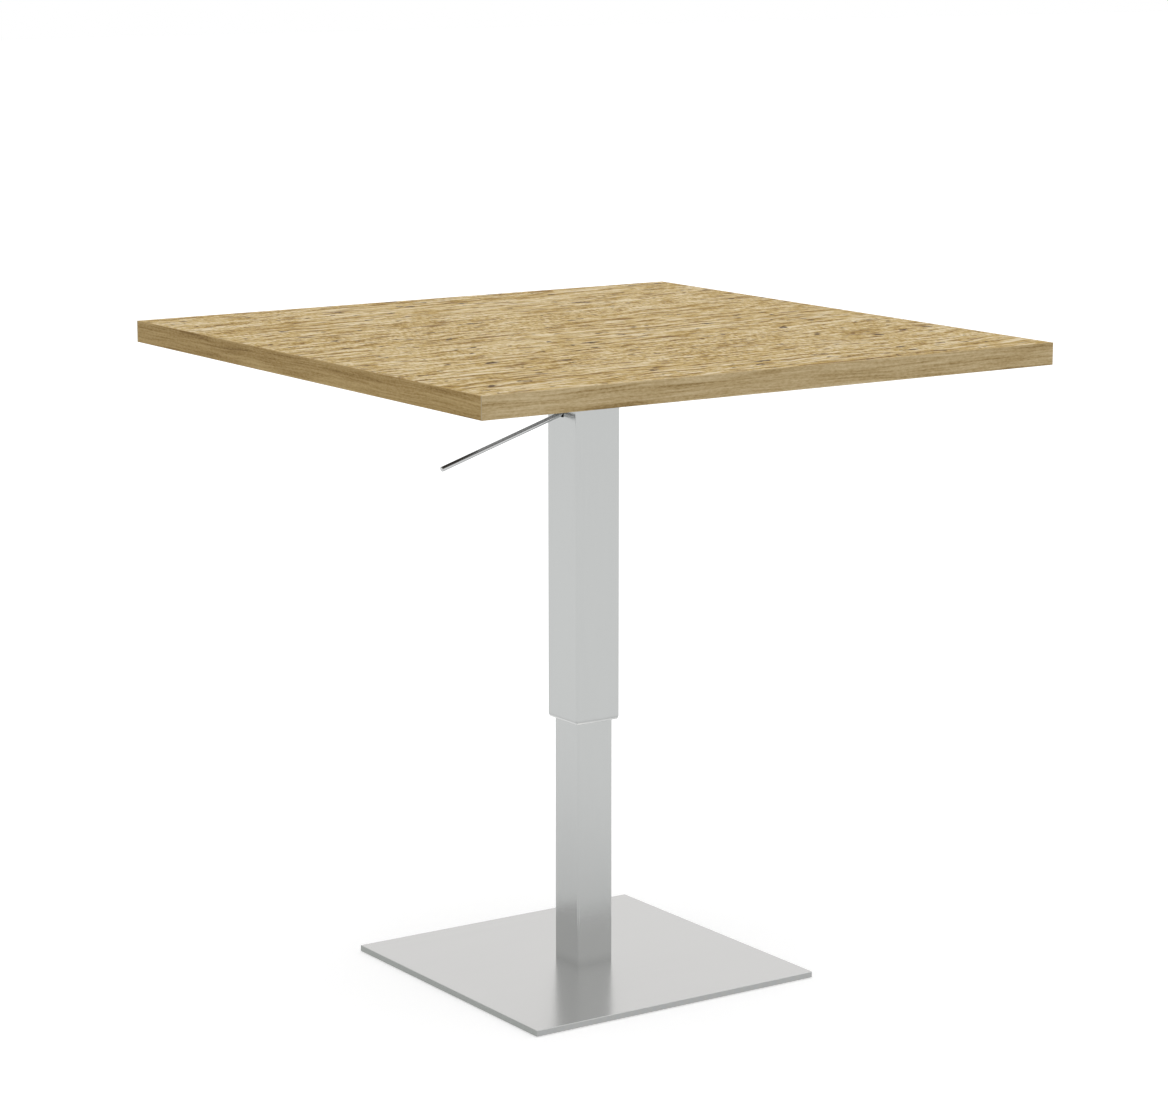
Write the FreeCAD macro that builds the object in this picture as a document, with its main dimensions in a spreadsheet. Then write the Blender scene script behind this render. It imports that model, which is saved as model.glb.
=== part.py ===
"""Telescoping pedestal table: a square top on two square tubes that slide over each other.

Millimetres, +Z up.  The origin is on the floor under the middle of the base plate.  The table
stands at its usual height, with the outer tube raised part of the way.  The lever is at -X.
"""
import FreeCAD, Part
import math
import os
import Sketcher

SIZES = {
    # Tabletop
    "table_height": 900,
    "top_side": 900,
    "top_thick": 30,
    "veneer_thick": 0.8,
    "band_thick": 2,
    "band_bevel": 0.5,
    # Base plate and its glides
    "base_side": 460,
    "base_thick": 8,
    "base_corner": 2,
    "base_bevel": 0.6,
    "glide_dia": 30,
    "glide_thick": 3.5,
    "glide_proud": 1.5,
    "glide_inset": 32,
    "glide_fit": 0.1,
    "glide_bevel": 0.8,
    # The two tubes: guide_space is the room between them
    "inner_side": 58,
    "inner_wall": 3,
    "guide_space": 4,
    "outer_wall": 3,
    "tube_corner": 3,
    "bore_corner": 1,
    "rim_height": 4,
    "rim_depth": 1.8,
    "rim_shoulder": 9,
    "rim_lip": 0.8,
    # Foot of the inner tube
    "foot_block_thick": 14,
    "foot_screw_dia": 8,
    "foot_screw_head": 16,
    "foot_screw_edge": 10,
    "foot_screw_sunk": 0.4,
    "foot_screw_short": 1.6,
    "foot_hole_gap": 0.5,
    "socket_flats": 5,
    "socket_deep": 3,
    # Sliding bushes
    "guide_length": 40,
    "guide_spacing": 31.5,
    "guide_inset": 4,
    "guide_corner": 2,
    "guide_lead": 1.2,
    "slide_gap": 0.3,
    "cap_thick": 3,
    "relief_depth": 1,
    "relief_height": 16,
    "relief_width": 36,
    # Travel of the upper part from the usual height
    "raising_length": 100,
    "lowering_length": 180,
    "stop_gap": 0.5,
    # Gas spring
    "cylinder_dia": 28,
    "cylinder_wall": 1.5,
    "cylinder_floor": 5,
    "cylinder_sunk": 1,
    "cylinder_gap": 0.3,
    "cylinder_bevel": 1.2,
    "spring_spare": 19,
    "lip_thick": 1.5,
    "lip_width": 2,
    "rod_guide_length": 16,
    "rod_seal_length": 5,
    "rod_dia": 10,
    "rod_end_wall": 4,
    "rod_bevel": 0.6,
    "running_gap": 0.1,
    "piston_length": 18,
    "piston_gap": 0.3,
    "ring_height": 3,
    "ring_depth": 2,
    "pin_dia": 3.5,
    "pin_bevel": 0.4,
    "seat_thick": 6,
    "stud_length": 17,
    "bolt_gap": 0.3,
    "nut_flats": 17,
    "nut_thick": 8,
    "lock_nut_thick": 5,
    "nut_bevel": 0.8,
    # Bridge across the outer tube, with the lower stop under it
    "head_room": 93,
    "bridge_thick": 6,
    "buffer_thick": 8,
    "buffer_dia": 40,
    "buffer_bore": 22,
    # Release head and lever
    "thread_reach": 11,
    "head_block": 12,
    "head_front": 9,
    "ear_radius": 7,
    "ear_thick": 4,
    "pivot_rise": 23.65,
    "pivot_dia": 5,
    "pivot_overhang": 2,
    "clip_dia": 10,
    "clip_thick": 0.6,
    "clip_groove": 0.5,
    "clip_sweep": 290,
    "lever_width": 10,
    "lever_droop": 17.2,
    "lever_swing": 9,
    "lever_dia": 7,
    "lever_reach": 222.4,
    "lever_bevel": 0.4,
    "hub_radius": 6,
    "nose_radius": 3,
    "nose_drop": 2,
    "nose_gap": 0.3,
    "socket_dia": 10,
    "socket_length": 14,
    "socket_depth": 7,
    "socket_gap": 1.15,
    "slot_margin": 1.5,
    "slot_round": 2,
    # Plate under the tabletop
    "plate_side": 300,
    "plate_thick": 5,
    "plate_corner": 12,
    "opening_ledge": 7,
    "wood_screw_dia": 6,
    "wood_screw_head": 12,
    "wood_screw_head_high": 3.5,
    "wood_screw_depth": 20,
    "wood_screw_edge": 20,
    "wood_screw_gap": 0.5,
}

doc = FreeCAD.newDocument("pedestal_table")
sheet = doc.addObject("Spreadsheet::Sheet", "Sizes")
for row, (alias, number) in enumerate(SIZES.items(), start=1):
    sheet.set(f"A{row}", alias)
    sheet.set(f"B{row}", str(number))
    sheet.setAlias(f"B{row}", alias)
doc.recompute()

# Tube sections, from the inner tube outwards
INNER_BORE = "(Sizes.inner_side - 2 * Sizes.inner_wall)"
OUTER_BORE = "(Sizes.inner_side + 2 * Sizes.guide_space)"
OUTER_SIDE = f"({OUTER_BORE} + 2 * Sizes.outer_wall)"
CYLINDER_BORE = "(Sizes.cylinder_dia - 2 * Sizes.cylinder_wall)"

# Heights, from the tabletop down to the inner tube's head and from the floor up to its foot
BASE_TOP = "(Sizes.glide_proud + Sizes.base_thick)"
TOP_FOOT = "(Sizes.table_height - Sizes.top_thick)"
PLATE_FOOT = f"({TOP_FOOT} - Sizes.plate_thick)"
BRIDGE_TOP = f"({PLATE_FOOT} - Sizes.head_room)"
BRIDGE_FOOT = f"({BRIDGE_TOP} - Sizes.bridge_thick)"
CAP_TOP = f"({BRIDGE_FOOT} - Sizes.buffer_thick - Sizes.lowering_length - Sizes.stop_gap)"
INNER_TOP = f"({CAP_TOP} - Sizes.cap_thick)"
UPPER_GUIDE_FOOT = f"({INNER_TOP} - Sizes.guide_length)"
LOWER_GUIDE_FOOT = (
    f"({UPPER_GUIDE_FOOT} - Sizes.guide_spacing - Sizes.raising_length - Sizes.guide_length)"
)
OUTER_FOOT = f"({LOWER_GUIDE_FOOT} - Sizes.guide_inset)"

# Gas spring, from its mouth down
CYLINDER_TOP = f"({CAP_TOP} - Sizes.cylinder_sunk)"
ROD_GUIDE_FOOT = f"({CYLINDER_TOP} - Sizes.lip_thick - Sizes.rod_guide_length)"
ROD_SEAL_FOOT = f"({ROD_GUIDE_FOOT} - Sizes.rod_seal_length)"
PISTON_FOOT = f"({ROD_SEAL_FOOT} - Sizes.stop_gap - Sizes.raising_length - Sizes.piston_length)"
CYLINDER_FOOT = (
    f"({PISTON_FOOT} - Sizes.lowering_length - Sizes.spring_spare - Sizes.cylinder_floor)"
)
SEAT_FOOT = f"({CYLINDER_FOOT} - Sizes.seat_thick)"
ROD_TOP = f"({BRIDGE_TOP} + Sizes.thread_reach)"

# Lever: its pivot stands back from the rod's axis, so that the socket clears the tube's wall
PIVOT_HEIGHT = f"({BRIDGE_TOP} + Sizes.pivot_rise)"
PIVOT_ARM = (
    f"({OUTER_BORE} / 2 - Sizes.socket_gap - Sizes.socket_length * cos(Sizes.lever_droop)"
    " - Sizes.socket_dia / 2 * sin(Sizes.lever_droop))"
)
PIN_TRAVEL = f"({PIVOT_ARM} * sin(Sizes.lever_swing))"
PIN_TOP = f"({PIVOT_HEIGHT} - Sizes.nose_drop - Sizes.nose_radius - Sizes.nose_gap)"
EAR_GAP = "(Sizes.lever_width + 2 * Sizes.slide_gap)"
HEAD_WIDTH = f"({EAR_GAP} + 2 * Sizes.ear_thick)"
PIVOT_LENGTH = f"({HEAD_WIDTH} + 2 * Sizes.pivot_overhang)"

# How far from the middle the rows of screws and glides stand, and the board between its bands
WOOD_SCREW_ROW = "(Sizes.plate_side / 2 - Sizes.wood_screw_edge)"
FOOT_SCREW_ROW = f"({INNER_BORE} / 2 - Sizes.foot_screw_edge)"
GLIDE_ROW = "(Sizes.base_side / 2 - Sizes.glide_inset)"
CORE_SIDE = "(Sizes.top_side - 2 * Sizes.band_thick)"

NEAR = 0.001
sub_parts = []


def value(expression):
    """The number that an expression over the sheet gives, in millimetres or degrees."""
    result = sheet.evalExpression(expression)
    return float(getattr(result, "Value", result))


def new_body(name, height="0", x="0", turn=None):
    """A sub-part whose own origin stands at the given x and height, turned about its origin."""
    body = doc.addObject("PartDesign::Body", name)
    body.Label = name
    if turn is not None:
        body.Placement = FreeCAD.Placement(FreeCAD.Vector(), turn)
    body.setExpression("Placement.Base.x", x)
    body.setExpression("Placement.Base.z", height)
    sub_parts.append(body)
    return body


def origin_feature(body, role):
    return [item for item in body.Origin.OriginFeatures if item.Role == role][0]


def new_sketch(body, name, role="XY_Plane", x="0", y="0", lift="0", turn=None):
    """A sketch on one of the body's own planes, moved in that plane and lifted off it."""
    sketch = body.newObject("Sketcher::SketchObject", name)
    sketch.AttachmentSupport = [(origin_feature(body, role), "")]
    sketch.MapMode = "FlatFace"
    if turn is not None:
        sketch.AttachmentOffset = FreeCAD.Placement(FreeCAD.Vector(), turn)
    for axis, place in zip("xyz", (x, y, lift)):
        sketch.setExpression(f"AttachmentOffset.Base.{axis}", place)
    return sketch


def dimension(sketch, kind, *where, size):
    """A sketch dimension bound to an expression; a plain zero lies on the axis instead."""
    if size == "0":
        axis = -2 if kind == "DistanceX" else -1
        sketch.addConstraint(Sketcher.Constraint("PointOnObject", *where[2:], axis))
        return
    index = sketch.addConstraint(Sketcher.Constraint(kind, *where, value(size)))
    sketch.setExpression(f"Constraints[{index}]", size)


def draw_outline(sketch, corners):
    """A closed outline of straight lines through corners given as pairs of expressions."""
    points = [FreeCAD.Vector(value(x), value(y), 0) for x, y in corners]
    first = sketch.GeometryCount
    count = len(points)
    for index in range(count):
        sketch.addGeometry(Part.LineSegment(points[index], points[(index + 1) % count]))
    for index, (x, y) in enumerate(corners):
        line = first + index
        following = first + (index + 1) % count
        sketch.addConstraint(Sketcher.Constraint("Coincident", line, 2, following, 1))
        dimension(sketch, "DistanceX", -1, 1, line, 1, size=x)
        dimension(sketch, "DistanceY", -1, 1, line, 1, size=y)


def draw_rectangle(sketch, left, right, low, high):
    draw_outline(sketch, [(left, low), (right, low), (right, high), (left, high)])


def draw_rounded(sketch, width, height, radius):
    """A rectangle round the sketch's origin with equal rounded corners, as lines and arcs."""
    half_wide, half_high, round_off = value(width) / 2, value(height) / 2, value(radius)
    first = sketch.GeometryCount
    for quarter in range(4):
        along, across = (half_wide, half_high) if quarter % 2 == 0 else (half_high, half_wide)
        spin = FreeCAD.Rotation(FreeCAD.Vector(0, 0, 1), 90 * quarter)
        start = spin.multVec(FreeCAD.Vector(round_off - along, -across, 0))
        end = spin.multVec(FreeCAD.Vector(along - round_off, -across, 0))
        centre = spin.multVec(FreeCAD.Vector(along - round_off, round_off - across, 0))
        sketch.addGeometry(Part.LineSegment(start, end))
        circle = Part.Circle(centre, FreeCAD.Vector(0, 0, 1), round_off)
        angle = math.radians(90 * quarter - 90)
        sketch.addGeometry(Part.ArcOfCircle(circle, angle, angle + math.pi / 2))
    for step in range(8):
        following = first + (step + 1) % 8
        sketch.addConstraint(Sketcher.Constraint("Tangent", first + step, 2, following, 1))
    bottom, right, top, left = (first + 2 * side for side in range(4))
    for line in (bottom, top):
        sketch.addConstraint(Sketcher.Constraint("Horizontal", line))
    for line in (right, left):
        sketch.addConstraint(Sketcher.Constraint("Vertical", line))
    for line in (right, top, left):
        sketch.addConstraint(Sketcher.Constraint("Equal", bottom + 1, line + 1))
    dimension(sketch, "Radius", bottom + 1, size=radius)
    dimension(sketch, "DistanceX", -1, 1, right, 1, size=f"{width} / 2")
    dimension(sketch, "DistanceX", -1, 1, left, 1, size=f"-{width} / 2")
    dimension(sketch, "DistanceY", -1, 1, top, 1, size=f"{height} / 2")
    dimension(sketch, "DistanceY", -1, 1, bottom, 1, size=f"-{height} / 2")


def draw_circle(sketch, diameter, x="0", y="0"):
    centre = FreeCAD.Vector(value(x), value(y), 0)
    circle = Part.Circle(centre, FreeCAD.Vector(0, 0, 1), value(diameter) / 2)
    index = sketch.addGeometry(circle)
    dimension(sketch, "Diameter", index, size=diameter)
    dimension(sketch, "DistanceX", -1, 1, index, 3, size=x)
    dimension(sketch, "DistanceY", -1, 1, index, 3, size=y)


def draw_hexagon(sketch, flats):
    """A regular hexagon with the given width across its flats."""
    tip, half = f"{flats} / sqrt(3)", f"{flats} / 2"
    shoulder = f"{flats} / sqrt(12)"
    draw_outline(sketch, [
        (tip, "0"), (shoulder, half), (f"-{shoulder}", half),
        (f"-{tip}", "0"), (f"-{shoulder}", f"-{half}"), (shoulder, f"-{half}"),
    ])


def volume_of(body):
    return body.Shape.Volume if body.Tip else 0.0


def pad(body, sketch, length, symmetric=False, backwards=False):
    """Material along the sketch's normal, to both sides of it, or against it."""
    feature = body.newObject("PartDesign::Pad", f"{body.Name}_pad")
    feature.Profile = sketch
    feature.SideType = "Symmetric" if symmetric else "One side"
    feature.Reversed = backwards
    feature.setExpression("Length", length)
    doc.recompute()
    return feature


def pocket(body, sketch, depth=None, forwards=False, symmetric=False):
    """A cut against the sketch's normal, or along it; without a depth it goes right through."""
    before = volume_of(body)
    feature = body.newObject("PartDesign::Pocket", f"{body.Name}_pocket")
    feature.Profile = sketch
    feature.SideType = "Symmetric" if symmetric else "One side"
    feature.Reversed = forwards
    if depth is None:
        feature.Type = "ThroughAll"
    else:
        feature.setExpression("Length", depth)
    doc.recompute()
    if body.Shape.Volume > before - NEAR:
        raise ValueError(f"{feature.Name} cuts nothing")
    return feature


def turned(body, corners, sweep="360", x="0", y="0"):
    """A turned solid: an outline of radius and height pairs, spun about an upright axis."""
    sketch = new_sketch(body, f"{body.Name}_profile", "XZ_Plane", x=x, lift=f"-{y}")
    draw_outline(sketch, corners)
    feature = body.newObject("PartDesign::Revolution", f"{body.Name}_turned")
    feature.Profile = sketch
    feature.ReferenceAxis = (sketch, ["V_Axis"])
    feature.setExpression("Angle", sweep)
    doc.recompute()
    return feature


def ring_outline(inner_radius, outer_radius, low, high):
    return [(inner_radius, low), (outer_radius, low), (outer_radius, high), (inner_radius, high)]


def four_times(body, *originals):
    """The given features repeated at each quarter turn about the body's Z axis."""
    feature = body.newObject("PartDesign::PolarPattern", f"{body.Name}_quarters")
    feature.Originals = list(originals)
    feature.Axis = (origin_feature(body, "Z_Axis"), [""])
    feature.Angle = 360
    feature.Occurrences = 4
    body.Tip = feature
    doc.recompute()
    return feature


def bevel(body, base, size, wanted):
    """A chamfer on the edges of the base feature that the test picks."""
    feature = body.newObject("PartDesign::Chamfer", f"{body.Name}_bevel")
    feature.Base = (base, picked_edges(base, wanted))
    feature.setExpression("Size", size)
    doc.recompute()
    return feature


def round_over(body, base, radius, wanted):
    """A fillet on the edges of the base feature that the test picks."""
    feature = body.newObject("PartDesign::Fillet", f"{body.Name}_round")
    feature.Base = (base, picked_edges(base, wanted))
    feature.setExpression("Radius", radius)
    doc.recompute()
    return feature


def picked_edges(base, wanted):
    names = [f"Edge{i}" for i, edge in enumerate(base.Shape.Edges, start=1) if wanted(edge)]
    if not names:
        raise ValueError(f"{base.Name} has no such edge")
    return names


def at_height(edge, height):
    """Whether an edge lies flat at a height of its own body."""
    box = edge.BoundBox
    return abs(box.ZMin - height) < NEAR and abs(box.ZMax - height) < NEAR


def reach(edge):
    """How far an edge gets from the body's axis along X or Y."""
    box = edge.BoundBox
    return max(abs(box.XMin), abs(box.XMax), abs(box.YMin), abs(box.YMax))


def square_tube(name, height, side, bore, length):
    """A length of square tube, rounded outside and in its bore."""
    body = new_body(name, height)
    sketch = new_sketch(body, f"{name}_section")
    draw_rounded(sketch, side, side, "Sizes.tube_corner")
    draw_rounded(sketch, bore, bore, "Sizes.bore_corner")
    return body, pad(body, sketch, length)


def bore_plate(name, height, side, thick):
    """A plate that fills a tube's bore, corner to corner."""
    body = new_body(name, height)
    sketch = new_sketch(body, f"{name}_outline")
    draw_rounded(sketch, side, side, "Sizes.bore_corner")
    pad(body, sketch, thick)
    return body


def drill(body, diameter, depth=None, x="0", y="0"):
    """A round hole upwards from the body's own floor."""
    sketch = new_sketch(body, f"{body.Name}_hole_sketch")
    draw_circle(sketch, diameter, x, y)
    return pocket(body, sketch, depth, forwards=True)


def hexagon_nut(name, height, thick):
    """A nut on the rod's thread size, its corners turned off at the top and the bottom."""
    body = new_body(name, height)
    sketch = new_sketch(body, f"{name}_outline")
    draw_hexagon(sketch, "Sizes.nut_flats")
    pad(body, sketch, thick)
    drill(body, "Sizes.rod_dia")
    corner, bevel_size = "Sizes.nut_flats / sqrt(3)", "Sizes.nut_bevel"
    inside = f"{corner} - {bevel_size}"
    beyond = f"{corner} + {bevel_size}"
    for level, direction in (("0", 1), (thick, -1)):
        groove_sketch = new_sketch(body, f"{name}_corner_cut", "XZ_Plane")
        slope = f"{level} + {direction} * {bevel_size}"
        draw_outline(groove_sketch, [(inside, level), (beyond, level), (beyond, slope),
                                     (corner, slope)])
        groove = body.newObject("PartDesign::Groove", f"{name}_corners")
        groove.Profile = groove_sketch
        groove.ReferenceAxis = (groove_sketch, ["V_Axis"])
        groove.Angle = 360
        doc.recompute()
    return body


def make_base_plate():
    """Square plate with countersunk holes and glide seats underneath, its top edge bevelled."""
    body = new_body("base_plate", "Sizes.glide_proud")
    outline = new_sketch(body, "base_outline")
    draw_rounded(outline, "Sizes.base_side", "Sizes.base_side", "Sizes.base_corner")
    slab = pad(body, outline, "Sizes.base_thick")
    top = value("Sizes.base_thick")
    bevel(body, slab, "Sizes.base_bevel", lambda edge: at_height(edge, top))
    seat = new_sketch(body, "glide_seat")
    draw_circle(seat, "Sizes.glide_dia + 2 * Sizes.glide_fit", GLIDE_ROW, GLIDE_ROW)
    recess = pocket(body, seat, "Sizes.glide_thick - Sizes.glide_proud", forwards=True)
    four_times(body, recess)
    centres = new_sketch(body, "foot_screw_centres")
    for side_x in (-1, 1):
        for side_y in (-1, 1):
            draw_circle(centres, "Sizes.foot_screw_dia", f"{side_x} * {FOOT_SCREW_ROW}",
                        f"{side_y} * {FOOT_SCREW_ROW}")
    doc.recompute()
    before = volume_of(body)
    hole = body.newObject("PartDesign::Hole", "foot_screw_holes")
    hole.Profile = centres
    hole.ThreadType = "None"
    hole.DepthType = "ThroughAll"
    hole.HoleCutType = "Countersink"
    hole.HoleCutCustomValues = True
    hole.Reversed = True
    hole.setExpression("Diameter", "Sizes.foot_screw_dia + 2 * Sizes.foot_hole_gap")
    hole.setExpression("HoleCutDiameter", "Sizes.foot_screw_head + 2 * Sizes.foot_screw_sunk")
    hole.HoleCutCountersinkAngle = 90
    doc.recompute()
    if body.Shape.Volume > before - NEAR:
        raise ValueError("the foot screw holes cut nothing")


def make_base_glides():
    """Four round plastic glides, bonded in their seats and proud of the plate."""
    body = new_body("base_glides")
    radius = "Sizes.glide_dia / 2"
    disc = turned(body, [
        ("0", "0"), (f"{radius} - Sizes.glide_bevel", "0"), (radius, "Sizes.glide_bevel"),
        (radius, "Sizes.glide_thick"), ("0", "Sizes.glide_thick"),
    ], x=GLIDE_ROW, y=GLIDE_ROW)
    four_times(body, disc)


def make_column_foot():
    """Threaded block welded in the inner tube's foot, and the four screws up into it."""
    block = bore_plate("column_foot_block", BASE_TOP, INNER_BORE, "Sizes.foot_block_thick")
    hole = drill(block, "Sizes.foot_screw_dia", x=FOOT_SCREW_ROW, y=FOOT_SCREW_ROW)
    four_times(block, hole)

    screws = new_body("column_foot_screws", "Sizes.glide_proud + Sizes.foot_screw_sunk")
    head, shank = "Sizes.foot_screw_head / 2", "Sizes.foot_screw_dia / 2"
    length = ("(Sizes.base_thick - Sizes.foot_screw_sunk + Sizes.foot_block_thick"
              " - Sizes.foot_screw_short)")
    screw = turned(screws, [
        ("0", "0"), (head, "0"), (shank, f"{head} - {shank}"), (shank, length), ("0", length),
    ], x=FOOT_SCREW_ROW, y=FOOT_SCREW_ROW)
    key = new_sketch(screws, "hexagon_socket", x=FOOT_SCREW_ROW, y=FOOT_SCREW_ROW)
    draw_hexagon(key, "Sizes.socket_flats")
    socket = pocket(screws, key, "Sizes.socket_deep", forwards=True)
    four_times(screws, screw, socket)


def make_inner_column():
    square_tube("inner_column", BASE_TOP, "Sizes.inner_side", INNER_BORE,
                f"{INNER_TOP} - {BASE_TOP}")


def draw_relief(sketch):
    """The shallow recess that leaves a bush two sliding pads on each side."""
    draw_rectangle(sketch, "-Sizes.relief_width / 2", "Sizes.relief_width / 2",
                   "-Sizes.relief_height / 2", "Sizes.relief_height / 2")


def make_upper_guide_bush():
    """Acetal cap on the inner tube's head: skirts that slide in the outer tube, and a hole
    that centres the gas spring."""
    body = new_body("upper_guide_bush", UPPER_GUIDE_FOOT)
    side = f"({OUTER_BORE} - 2 * Sizes.slide_gap)"
    outline = new_sketch(body, "bush_outline")
    draw_rounded(outline, side, side, "Sizes.guide_corner")
    pad(body, outline, "Sizes.guide_length + Sizes.cap_thick")
    seat = new_sketch(body, "tube_seat")
    draw_rounded(seat, "Sizes.inner_side", "Sizes.inner_side", "Sizes.tube_corner")
    pocket(body, seat, "Sizes.guide_length", forwards=True)
    drill(body, "Sizes.cylinder_dia + 2 * Sizes.cylinder_gap")
    relief = new_sketch(body, "relief", "YZ_Plane", y="Sizes.guide_length / 2", lift=f"{side} / 2")
    draw_relief(relief)
    four_times(body, pocket(body, relief, "Sizes.relief_depth"))


def make_lower_guide_bush():
    """Acetal sleeve in the outer tube's foot that slides on the inner tube."""
    body = new_body("lower_guide_bush", LOWER_GUIDE_FOOT)
    bore = "(Sizes.inner_side + 2 * Sizes.slide_gap)"
    section = new_sketch(body, "sleeve_section")
    draw_rounded(section, OUTER_BORE, OUTER_BORE, "Sizes.bore_corner")
    draw_rounded(section, bore, bore, "Sizes.guide_corner")
    sleeve = pad(body, section, "Sizes.guide_length")
    inside = value(f"{bore} / 2") + NEAR
    bevel(body, sleeve, "Sizes.guide_lead",
          lambda edge: at_height(edge, 0) and reach(edge) < inside)
    relief = new_sketch(body, "relief", "YZ_Plane", y="Sizes.guide_length / 2", lift=f"{bore} / 2")
    draw_relief(relief)
    four_times(body, pocket(body, relief, "Sizes.relief_depth", forwards=True))


def make_outer_column():
    """Outer tube with the lever's slot in its -X wall, its lower rim drawn in and rounded."""
    body, tube = square_tube("outer_column", OUTER_FOOT, OUTER_SIDE, OUTER_BORE,
                             f"{PLATE_FOOT} - {OUTER_FOOT}")
    outside = value(f"{OUTER_BORE} / 2") + NEAR
    depth = "min(Sizes.rim_depth; 0.6 * Sizes.outer_wall; 0.6 * Sizes.tube_corner)"
    taper = body.newObject("PartDesign::Chamfer", "rim_taper")
    taper.Base = (tube, picked_edges(
        tube, lambda edge: at_height(edge, 0) and reach(edge) > outside))
    taper.ChamferType = "Two distances"
    taper.setExpression("Size", "Sizes.rim_height")
    taper.setExpression("Size2", depth)
    doc.recompute()
    rim = value("Sizes.rim_height")
    shoulder = round_over(body, taper, "Sizes.rim_shoulder",
                          lambda edge: at_height(edge, rim) and reach(edge) > outside)
    round_over(body, shoulder, "Sizes.rim_lip",
               lambda edge: at_height(edge, 0) and reach(edge) > outside)
    raised = "(Sizes.lever_droop - Sizes.lever_swing)"
    low = (f"({PIVOT_HEIGHT} - ({OUTER_SIDE} / 2 - {PIVOT_ARM}) * tan(Sizes.lever_droop)"
           " - Sizes.lever_dia / 2 / cos(Sizes.lever_droop) - Sizes.slot_margin)")
    high = (f"({PIVOT_HEIGHT} - ({OUTER_BORE} / 2 - {PIVOT_ARM}) * tan({raised})"
            f" + Sizes.lever_dia / 2 / cos({raised}) + Sizes.slot_margin)")
    slot = new_sketch(body, "lever_slot", "YZ_Plane", y=f"({low} + {high}) / 2 - {OUTER_FOOT}")
    draw_rounded(slot, "(Sizes.lever_dia + 2 * Sizes.slot_margin)", f"({high} - {low})",
                 "Sizes.slot_round")
    pocket(body, slot)


def make_gas_spring_seat():
    """Plate across the inner tube with the spring's stud through it, and the nut below."""
    seat = bore_plate("gas_spring_seat", SEAT_FOOT, INNER_BORE, "Sizes.seat_thick")
    drill(seat, "Sizes.rod_dia + 2 * Sizes.bolt_gap")
    hexagon_nut("gas_spring_base_nut", f"{SEAT_FOOT} - Sizes.nut_thick", "Sizes.nut_thick")


def make_gas_spring_cylinder():
    """Pressure tube with its stud below and its edge rolled in over the rod guide."""
    body = new_body("gas_spring_cylinder", CYLINDER_FOOT)
    outside, stud = "Sizes.cylinder_dia / 2", "Sizes.rod_dia / 2"
    bore = f"{CYLINDER_BORE} / 2"
    length = f"({CYLINDER_TOP} - {CYLINDER_FOOT})"
    under_lip = f"{length} - Sizes.lip_thick"
    eased = f"{outside} - Sizes.cylinder_bevel"
    turned(body, [
        ("0", "-Sizes.stud_length"), (stud, "-Sizes.stud_length"), (stud, "0"), (outside, "0"),
        (outside, f"{length} - Sizes.cylinder_bevel"), (eased, length),
        (f"{bore} - Sizes.lip_width", length), (f"{bore} - Sizes.lip_width", under_lip),
        (bore, under_lip), (bore, "Sizes.cylinder_floor"), ("0", "Sizes.cylinder_floor"),
    ])


def make_rod_guide_and_seal():
    """Metal guide in the cylinder's mouth, and the rubber seal under it."""
    inner, outer = "Sizes.rod_dia / 2 + Sizes.running_gap", f"{CYLINDER_BORE} / 2"
    guide = new_body("gas_spring_rod_guide", ROD_GUIDE_FOOT)
    turned(guide, ring_outline(inner, outer, "0", "Sizes.rod_guide_length"))
    seal = new_body("gas_spring_rod_seal", ROD_SEAL_FOOT)
    turned(seal, ring_outline(inner, outer, "0", "Sizes.rod_seal_length"))


def make_piston_and_rod():
    """Hollow rod with the piston and its ring, and the pin that runs down it to the valve."""
    rod_radius = "Sizes.rod_dia / 2"
    pin_bore = "(Sizes.pin_dia / 2 + Sizes.running_gap)"
    length = f"({ROD_TOP} - {PISTON_FOOT})"
    rod = new_body("gas_spring_rod", PISTON_FOOT)
    turned(rod, [
        ("0", "0"), (rod_radius, "0"), (rod_radius, f"{length} - Sizes.rod_bevel"),
        (f"{rod_radius} - Sizes.rod_bevel", length), (pin_bore, length),
        (pin_bore, "Sizes.rod_end_wall"), ("0", "Sizes.rod_end_wall"),
    ])

    piston_radius = f"({CYLINDER_BORE} / 2 - Sizes.piston_gap)"
    ring_radius = f"({piston_radius} - Sizes.ring_depth)"
    ring_low = "(Sizes.piston_length / 2 - Sizes.ring_height / 2)"
    ring_high = "(Sizes.piston_length / 2 + Sizes.ring_height / 2)"
    piston = new_body("gas_spring_piston", PISTON_FOOT)
    turned(piston, [
        (rod_radius, "0"), (piston_radius, "0"), (piston_radius, ring_low),
        (ring_radius, ring_low), (ring_radius, ring_high), (piston_radius, ring_high),
        (piston_radius, "Sizes.piston_length"), (rod_radius, "Sizes.piston_length"),
    ])
    ring = new_body("gas_spring_piston_ring", PISTON_FOOT)
    turned(ring, ring_outline(ring_radius, f"{CYLINDER_BORE} / 2 - Sizes.running_gap",
                              ring_low, ring_high))

    pin_foot = f"({PISTON_FOOT} + Sizes.rod_end_wall + {PIN_TRAVEL} + Sizes.stop_gap)"
    pin = new_body("release_pin", pin_foot)
    pin_length = f"({PIN_TOP} - {pin_foot})"
    turned(pin, [
        ("0", "0"), ("Sizes.pin_dia / 2", "0"),
        ("Sizes.pin_dia / 2", f"{pin_length} - Sizes.pin_bevel"),
        ("Sizes.pin_dia / 2 - Sizes.pin_bevel", pin_length), ("0", pin_length),
    ])


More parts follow.
